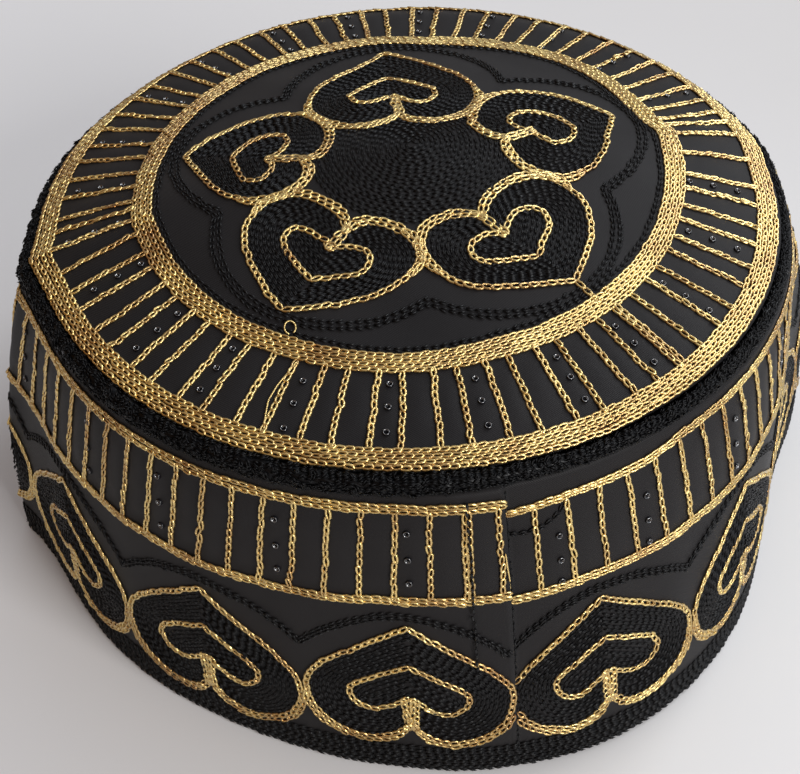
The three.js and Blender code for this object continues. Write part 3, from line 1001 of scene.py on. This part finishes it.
rows = []
outlines = []
for heart in HEARTS:
    sides = heart_sides(heart)
    outlines.append(np.vstack([sides[0], sides[1][::-1]]))
    paths = heart_fill(sides, heart_sides(heart, "small_"))
    rows += [stitch_row(crown, path, BLACK_PITCH, BLACK_WIDTH) for path in paths]
turns = SPIRAL_REACH / SPIRAL_GAP
share = np.sqrt(np.linspace(SPIRAL_START, 1.0, SPIRAL_POINTS))
spiral = drawn(*plan_points(SPIRAL_REACH * share, 360.0 * turns * share)) + SPIRAL_CENTRE
spiral_row = stitch_row(crown, spiral, BLACK_PITCH, BLACK_WIDTH)
covered = np.any([within(outline, spiral_row[:, :2]) for outline in outlines], axis=0)
rows += np.array_split(spiral_row[~covered], round(turns))
black_top = place_stitches("top_black_stitches", rows, *cord_stitch(FILL_CORD), seed=21, stray=5.0, slip=0.5)
rings = [scallop(around) + shift for shift in SCALLOP_ROWS] + [inner_ring(around) - BLACK_RING_INSIDE]
rows = [stitch_row(crown, drawn(*plan_points(far, around)), LINE_PITCH, LINE_WIDTH) for far in rings]
black_lines = place_stitches("top_black_lines", rows, *cord_stitch(LINE_CORD), seed=22, stray=6.0)
cord_gloss = {"Specular IOR Level": 0.24}
black_cord = thread_material("black_cord", CORD_DARK_TONE_AND_SHADE, CORD_LIGHT_TONE_UNSHADED, (0.36, 0.52), 700.0, cord_gloss)
dress([black_top, black_lines], black_cord)

# Two lines of gold chain stitch run round the band with upright spokes between them. They stop at
# the lapped seam, and the end that lies underneath starts lower and climbs to the right height.
UPPER_LINE = [
    (0.0, 69.5), (10, 70.9), (20, 71.3), (27, 72.7), (40, 72.7), (50, 72.9),
    (180, 72.3), (278, 71.6), (318, 72.2), (351, 72.7), (360, 72.6),
]
LOWER_LINE = [
    (0.0, 49.2), (10, 50.7), (27, 51.2), (40, 50.5), (180, 50.0),
    (278, 48.8), (318, 48.8), (335, 49.9), (351, 51.6), (360, 51.4),
]
UPPER_ROWS = (-0.62, 0.62)
LOWER_ROWS = (-0.48, 0.48)
UPPER_SPREAD = [(0, 0.45), (60, 0.6), (120, 1.0), (250, 1.0), (310, 1.12), (345, 1.0), (360, 0.9)]
BAND_POINTS = 900
LINE_ENDS = (0.15, 359.9)
BAND_LINE_PITCH = 1.73
BAND_SPOKE_PITCH = 1.87
BAND_SPOKE_WIDTH = 1.2
BAND_SPOKE_ENDS = (-0.9, 0.6)
FLAP_SPOKE = -94.7
FLAP_STRAND = [(-90.35, 62.0), (-90.2, 58.5), (-90.0, 55.0), (-89.9, 52.4), (-90.3, 50.6)]
FLAP_LIFT = 0.4
LEAN_RATE = 0.045
LEAN_MOST = 2.4
LEAN_REACH = 100.0


def line_level(line, at):
    """Level of a line round the band, read by the angle past the seam."""
    return np.interp((at - SEAM_AT) % 360.0, *zip(*line))


def band_spoke(at):
    """A spoke of the band from its upper to its lower line, which leans away from the seam."""
    past = turn_from(SEAM_AT, at)
    lean = float(np.clip(-LEAN_RATE * past, -LEAN_MOST, LEAN_MOST)) if abs(past) < LEAN_REACH else 0.0
    ends = np.array([at + lean / 2, at - lean / 2])
    levels = [line_level(line, end) for line, end in zip((UPPER_LINE, LOWER_LINE), ends)]
    top, foot = np.add(levels, BAND_SPOKE_ENDS)
    return np.stack([np.linspace(*ends, SPOKE_POINTS), np.linspace(top, foot, SPOKE_POINTS)], 1)


past = np.linspace(*LINE_ENDS, BAND_POINTS)
upper_spread = np.interp(past, *zip(*UPPER_SPREAD))
levels = [line_level(UPPER_LINE, past + SEAM_AT) + shift * upper_spread for shift in UPPER_ROWS]
levels += [line_level(LOWER_LINE, past + SEAM_AT) + shift for shift in LOWER_ROWS]
rows = [stitch_row(band, drawn(past + SEAM_AT, level), BAND_LINE_PITCH, RING_WIDTH) for level in levels]
gold_lines = place_stitches("band_gold_lines", rows, *gold_stitch(), seed=31, stray=4.0)

paths = [band_spoke(at) for at in side_spokes + [FLAP_SPOKE]]
paths[::2] = [path[::-1] for path in paths[::2]]
rows = [stitch_row(band, path, BAND_SPOKE_PITCH, BAND_SPOKE_WIDTH) for path in paths]
strands = [band(*stepped(FLAP_STRAND, SPOKE_POINTS), -FLAP_LIFT)]
band_spokes = place_stitches(
    "band_gold_spokes", rows, *gold_stitch(), seed=32, stray=5.0, strands=strands, thick=STRAND_RADIUS
)
dress([gold_lines, band_spokes], gold_thread)

# Thirteen hearts stand round the band, touching each other, with their points up. Each is an outline
# of gold chain stitch, worked twice along the foot, with a small heart on a stem inside.
HEART_HALF = 20.8
HEART_STEP = 27.55
BACK_HEARTS = 8
BAND_HEARTS = [
    dict(at=-160.7, rise=-2.4, left=13.6, right=14.0, lean=0.0, tilt=0.0),
    dict(at=-132.0, rise=-2.9, left=14.0, right=14.2, lean=0.0, tilt=0.0),
    dict(at=-103.1, rise=0.0, left=13.7, right=13.0, lean=-0.2, tilt=0.0),
    dict(at=-77.9, rise=0.0, left=13.2, right=13.8, lean=1.2, tilt=0.08),
    dict(at=-49.5, rise=1.7, left=12.9, right=13.7, lean=0.5, tilt=0.04),
]
BAND_HEARTS += [
    dict(at=BAND_HEARTS[-1]["at"] + HEART_STEP * k, rise=0.3, left=13.7, right=13.7, lean=0.0, tilt=0.0)
    for k in range(1, BACK_HEARTS + 1)
]
BAND_HEART = [
    (0, 44.3), (5.2, 40.7), (10.4, 37.0), (16.2, 32.3), (19.9, 27.6), (20.8, 23.4),
    (19.8, 18.0), (16.4, 13.2), (9.9, 10.4), (4.0, 11.5), (0.4, 15.2),
]
BAND_SMALL_HEART = [
    (0, 33.3), (5.0, 30.5), (10.2, 27.4), (11.9, 24.5), (10.6, 21.2), (7.8, 19.7), (4.0, 20.8), (0.4, 23.6),
]
BAND_STEM = [[(0.35, 13.6), (0.4, 23.0)], [(0.8, 13.4), (1.25, 23.4)]]
FOOT_DOUBLED_FROM = 0.52
SEAM_CLEAR = 0.15
TIP_LEVEL, NOTCH_LEVEL = BAND_HEART[0][1], BAND_HEART[-1][1]


def on_band(heart, curve, half):
    """Bearings and levels of a curve drawn in millimetres on half a heart, stretched to that half's width."""
    share = curve[:, 0] / HEART_HALF * (heart[half] if half == "right" else -heart[half])
    low = 1.0 - (curve[:, 1] - NOTCH_LEVEL) / (TIP_LEVEL - NOTCH_LEVEL)
    level = curve[:, 1] + heart["rise"] + heart["tilt"] * share
    return drawn(heart["at"] + share + heart["lean"] * low, level)


def own_side(path):
    """The runs of a path on the same side of the seam as its middle. The lapped end covers the rest."""
    past = turn_from(SEAM_AT, path[:, 0])
    kept = (np.abs(past) > 90.0) | (past * np.sign(np.median(past)) > SEAM_CLEAR)
    cuts = np.flatnonzero(np.diff(kept)) + 1
    return [run for run, keep in zip(np.split(path, cuts), np.split(kept, cuts)) if keep[0] and len(run) > 2]


def heart_rows(curves, pitch, width):
    """Stitches along curves that are drawn on both halves of every heart of the band."""
    halves = [(heart, curve, half) for heart in BAND_HEARTS for half in ("left", "right") for curve in curves]
    return [stitch_row(band, run, pitch, width) for place in halves for run in own_side(on_band(*place))]


heart_side, small_side = evenly(through(BAND_HEART)), evenly(through(BAND_SMALL_HEART))
foot_row = drawn_apart(heart_side, HEART_ROW_GAP, FOOT_DOUBLED_FROM)
stems = [np.linspace(*stem, STEM_POINTS) for stem in BAND_STEM]
rows = heart_rows([heart_side, small_side, foot_row, *stems], HEART_PITCH, HEART_WIDTH)
band_hearts = place_stitches("band_gold_hearts", rows, *gold_stitch(), seed=33, stray=5.0)
dress([band_hearts], gold_thread)

# Black chain stitch on the band: rows that fill the hearts, a double wavy line over them, a short line of
# black stitches beside the seam that paints the shadow of a small pucker, a line of black stitches down the
# flap's edge that paints the shadow there, and the small stitches that hold the crease next to it.
WAVE_ENDS = (0.2, 359.8)
WAVE_OVER_TIP = 2.6
WAVE_CUSP_DROP = 7.8
WAVE_POWER = 0.75
WAVE_DROPS = [(26.0, -2.2, 8.0), (0.0, 1.4, 6.0)]
WAVE_ROWS = (-0.55, 0.55)
# Painted shade: black stitches that stand in for the shadow of a small pucker beside the seam.
PUCKER_SHADOW_PATH = [(-89.7, 65.2), (-88.0, 64.9), (-86.0, 65.0), (-84.5, 66.0), (-82.8, 67.6), (-82.2, 69.0)]
# Painted shade: black stitches down the flap's edge that stand in for the shadow line there.
SEAM_SHADOW_LINE = dict(at=SEAM_AT + 0.2, foot=0.6, points=60, width=0.5, lift=0.0)
CREASE_LINE = dict(at=-94.75, foot=31.0, points=40, width=0.25, lift=0.5)


def wave_level(past):
    """Level of the wavy line by the angle past the seam: a flattened half sine over each heart, which drops
    to a cusp between two hearts."""
    ordered = sorted(BAND_HEARTS, key=lambda heart: (heart["at"] - SEAM_AT) % 360.0)
    tips_at = np.array([(heart["at"] - SEAM_AT) % 360.0 for heart in ordered])
    tips_rise = np.array([heart["rise"] for heart in ordered])
    beyond = np.concatenate([[tips_at[-1] - 360.0], tips_at, [tips_at[0] + 360.0]])
    cusps_at = (beyond[:-1] + beyond[1:]) / 2.0
    lobe = np.clip(np.searchsorted(cusps_at, past, side="right") - 1, 0, len(tips_at) - 1)
    share = (past - cusps_at[lobe]) / (cusps_at[lobe + 1] - cusps_at[lobe])
    peak = TIP_LEVEL + np.interp(past, tips_at, tips_rise) + WAVE_OVER_TIP
    more = sum(drop * np.exp(-(turn_from(at, past) / width) ** 2) for at, drop, width in WAVE_DROPS)
    arch = np.abs(np.sin(np.pi * share)) ** WAVE_POWER
    return peak - (WAVE_OVER_TIP + WAVE_CUSP_DROP + more) * (1.0 - arch)


def upright_row(line):
    """Stitches straight up the band at one bearing, lifted off the cloth by a little."""
    path = drawn(line["at"], np.linspace(line["foot"], BAND_HEIGHT, line["points"]))
    return stitch_row(lambda at, level: band(at, level, -line["lift"]), path, LINE_PITCH, line["width"])


rows = heart_rows(heart_fill([heart_side], [small_side]), BLACK_PITCH, BLACK_WIDTH)
band_fill = place_stitches("band_black_stitches", rows, *cord_stitch(FILL_CORD), seed=41, stray=5.0, slip=0.5)
past = np.linspace(*WAVE_ENDS, BAND_POINTS)
paths = [drawn(past + SEAM_AT, wave_level(past) + shift) for shift in WAVE_ROWS] + [through(PUCKER_SHADOW_PATH)]
rows = [stitch_row(band, path, LINE_PITCH, LINE_WIDTH) for path in paths]
rows += [upright_row(SEAM_SHADOW_LINE), upright_row(CREASE_LINE)]
wavy_line = place_stitches("band_black_lines", rows, *cord_stitch(LINE_CORD), seed=43, stray=5.0)
dress([band_fill, wavy_line], black_cord)

# The hem is eight rows of black chain stitch, worked close together round the foot of the band. They
# make the thick cord that the cap stands on.
HEM_ROWS = 8
HEM_ROW_GAP = 1.02
HEM_FIRST_LEVEL = 0.75
HEM_ENDS = (0.1, 359.95)
HEM_PITCH = 1.76
HEM_WIDTH = 0.8
HEM_CORD = 0.25

past = np.linspace(*HEM_ENDS, BAND_POINTS)
levels = np.arange(HEM_ROWS) * HEM_ROW_GAP + HEM_FIRST_LEVEL
rows = [stitch_row(band, drawn(past + SEAM_AT, level), HEM_PITCH, HEM_WIDTH) for level in levels]
hem = place_stitches("hem_cords", rows, *cord_stitch(HEM_CORD), seed=42, stray=5.0, slip=0.5)
dress([hem], black_cord)

# Small punched eyelets, three in a row, decorate some of the cells between the spokes. Each is a raised,
# polished black lip round a dark matt floor, painted shade that stands for the inside of the hole.
TOP_EYELETS = [
    (-15.2, 0.0, -0.7), (-30.2, 0.0, -0.2), (-46.2, 0.0, 0.0), (-61.3, 0.0, 0.0), (-74.8, 0.0, 0.0),
    (-90.2, 0.0, 0.0), (-105.2, 0.0, 0.0), (-120.2, 0.0, 1.7), (-135.2, 0.0, 0.0), (-149.4, 0.0, 0.0),
    (-165.2, 0.0, -0.8), (-178.3, 0.0, 0.0), (167.2, 1.6, 0.0), (152.2, 0.6, 0.3), (136.4, 0.0, 0.0),
    (122.1, 0.0, 0.0), (105.8, 0.0, 0.0), (90.5, 0.0, 0.0), (76.0, 0.0, 0.0), (61.5, 0.0, 0.0),
    (47.1, 0.0, 0.0), (31.7, 0.0, 0.0), (15.4, 0.0, 0.5),
]
TOP_EYELET_RADII = (69.6, 64.5, 59.6)
SEEN_EYELETS = [-152.5, -137.6, -119.7, -102.5, -83.1, -70.2, -52.4]
BACK_EYELETS = dict(start=-34.9, step=17.0, count=14)
BAND_EYELET_SHARES = (0.76, 0.48, 0.22)
EYELET_SINK = 0.16
EYELET_SINK_REACH = 35.0
# The first two points make the dark floor, painted shade where the hole would show the cap's dark inside.
EYELET_PROFILE = [
    (0.0, 0.02, 0), (0.34, 0.03, 0), (0.41, 0.22, 1), (0.49, 0.44, 1), (0.57, 0.47, 0.8), (0.67, 0.30, 0.1),
    (0.74, -0.1, 0),
]
EYELET_POINTS = 10
LIP_DARK = (0.003, 0.003, 0.004)
LIP_LIGHT = (0.010, 0.010, 0.012)


def eyelets(name, surface, first, second):
    """One joined mesh of eyelets on a surface, each a small cup round the outward direction there. The
    profile goes from the middle of the dark floor, a matt disc that paints the shade inside the hole, over
    the lip to the cloth. Each of its points is a radius, a height, and its polish, which is full inside the
    lip."""
    turn = 2.0 * np.pi * np.arange(EYELET_POINTS) / EYELET_POINTS
    far, high, polish = np.array(EYELET_PROFILE).T[:, :, None]
    cup = np.stack([far * np.cos(turn), far * np.sin(turn), high + 0.0 * turn], -1).reshape(-1, 1, 3)
    faces = grid_quads(len(far), EYELET_POINTS)
    foot, out = surface(first, second), facing(surface, first, second)
    across = np.cross(out, SLANT)
    across /= np.linalg.norm(across, axis=1, keepdims=True)
    axes = np.stack([across, np.cross(out, across), out], 1)
    points = foot[:, None] + np.sum(cup[None].swapaxes(2, 3) * axes[:, None], axis=2)
    every = (faces[None] + np.arange(len(foot))[:, None, None] * len(cup)).reshape(-1, 4)
    piece = make_mesh(name, in_metres(points), every)
    shine = np.tile(np.repeat(polish.ravel(), EYELET_POINTS), len(foot)).astype(np.float32)
    piece.data.attributes.new("polish", "FLOAT", "POINT").data.foreach_set("value", shine)
    return piece


at, lean, shift = np.array(TOP_EYELETS).T[:, :, None]
far = np.array(TOP_EYELET_RADII) + shift + rim_shift(at)
at = at + lean * (TOP_EYELET_RADII[0] - far) / (TOP_EYELET_RADII[0] - TOP_EYELET_RADII[-1])
top_eyelets = eyelets("top_eyelets", crown, *plan_points(far.ravel(), at.ravel()))
back_eyelets = BACK_EYELETS["start"] + BACK_EYELETS["step"] * np.arange(BACK_EYELETS["count"])
all_round = np.append(SEEN_EYELETS, back_eyelets)
at, share = (grid.ravel() for grid in np.meshgrid(all_round, BAND_EYELET_SHARES))
low, high = line_level(LOWER_LINE, at), line_level(UPPER_LINE, at)
share = share - EYELET_SINK * np.exp(-((at - SEAM_AT) % 360.0 / EYELET_SINK_REACH) ** 2)
band_eyelets = eyelets("band_eyelets", band, at, low + (high - low) * share)

lip_shine = {"Specular IOR Level": 0.0, "Coat IOR": 2.5, "Coat Roughness": 0.12}
polished_lip, tree, shader = new_material("polished_lip", lip_shine)
place = add_node(tree, "ShaderNodeTexCoord")
worn = add_node(tree, "ShaderNodeTexNoise", {"Scale": 900.0, "Detail": 2.0})
shades = add_ramp(tree, (0.0, LIP_DARK), (1.0, LIP_LIGHT))
polish = add_node(tree, "ShaderNodeAttribute", attribute_name="polish")
matt = add_node(tree, "ShaderNodeMapRange", {"To Min": 0.9, "To Max": 0.12})
wire(
    tree,
    (place, "Object", worn, "Vector"),
    (worn, "Fac", shades, "Fac"),
    (shades, "Color", shader, "Base Color"),
    (polish, "Fac", matt, "Value"),
    (matt, "Result", shader, "Roughness"),
    (polish, "Fac", shader, "Coat Weight"),
)
dress([top_eyelets, band_eyelets], polished_lip)
